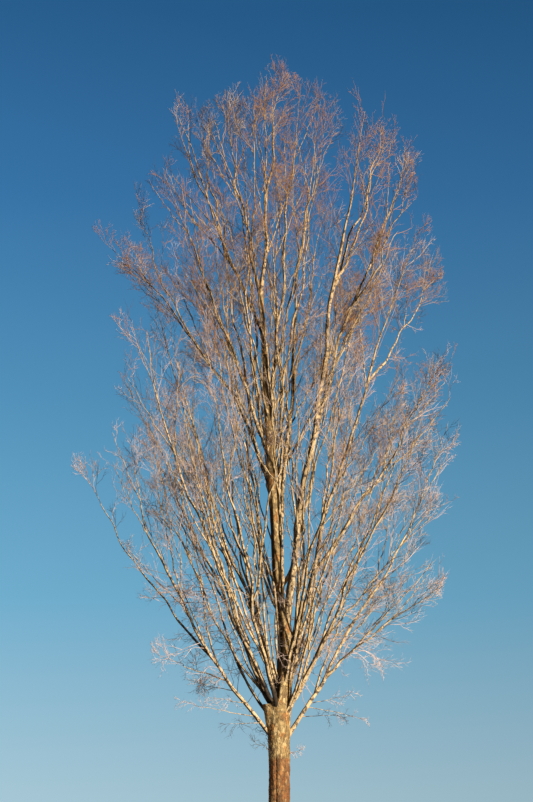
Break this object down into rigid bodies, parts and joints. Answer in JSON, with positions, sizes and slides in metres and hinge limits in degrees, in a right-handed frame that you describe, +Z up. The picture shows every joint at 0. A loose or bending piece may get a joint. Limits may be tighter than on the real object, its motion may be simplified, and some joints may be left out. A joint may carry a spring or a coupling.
{
  "type": "bare chinese elm tree",
  "caption": "Tall upright elm in winter: a flared trunk, ascending tapering boughs and a narrow crown of bare twigs.",
  "frame": {"origin": "centre of the flat cut under the trunk, at ground level", "axes": "+Z up along the trunk; the pictured side faces -Y, with +X to its right"},
  "size_m": [6.9158, 5.9384, 15.5601],
  "materials": {
    "trunk_bark": "rough flaking bark, mottled tan, grey and orange-brown",
    "bough_bark": "smoother golden-tan bark with darker flecks",
    "twigs": "fine matt pinkish-brown twigs"
  },
  "bodies": {
    "root": {"trunk": "trunk_bark", "bough_left_low": "bough_bark", "bough_left_far": "bough_bark", "bough_left_rear": "bough_bark", "bough_left_shoulder": "bough_bark", "bough_left_inner": "bough_bark", "bough_long_left": "bough_bark", "bough_upper_left": "bough_bark", "bough_crest_left": "bough_bark", "bough_crown_left": "bough_bark", "bough_crown_top": "bough_bark", "bough_crown_front": "bough_bark", "bough_crown_rear": "bough_bark", "bough_right_leader": "bough_bark", "bough_right_upper": "bough_bark", "bough_right_main": "bough_bark", "bough_right_outer": "bough_bark", "bough_right_mid": "bough_bark", "bough_right_rear": "bough_bark", "bough_right_low": "bough_bark", "bough_rear_right_upper": "bough_bark", "bough_front_left": "bough_bark", "bough_front_right": "bough_bark", "bough_front_upper": "bough_bark", "bough_rear_left": "bough_bark", "bough_rear_right": "bough_bark", "bough_rear_upper": "bough_bark", "mass_left_low": "twigs", "mass_low_left": "twigs", "mass_left_far": "twigs", "mass_left_rear": "twigs", "mass_left_shoulder": "twigs", "mass_left_inner": "twigs", "mass_left_slim": "twigs", "mass_long_left": "twigs", "mass_long_left_upper": "twigs", "mass_upper_left": "twigs", "mass_crest_left": "twigs", "mass_crest_left_rear": "twigs", "mass_slim_front_left": "twigs", "mass_crown_left": "twigs", "mass_crown_top": "twigs", "mass_crown_front": "twigs", "mass_crown_rear": "twigs", "mass_right_leader": "twigs", "mass_right_crest": "twigs", "mass_right_upper": "twigs", "mass_right_main": "twigs", "mass_right_main_rear": "twigs", "mass_right_outer": "twigs", "mass_right_mid": "twigs", "mass_right_rear": "twigs", "mass_right_low": "twigs", "mass_rear_right_upper": "twigs", "mass_front_left": "twigs", "mass_front_right": "twigs", "mass_front_upper": "twigs", "mass_rear_left": "twigs", "mass_rear_right": "twigs", "mass_rear_upper": "twigs"}
  },
  "joints": []
}
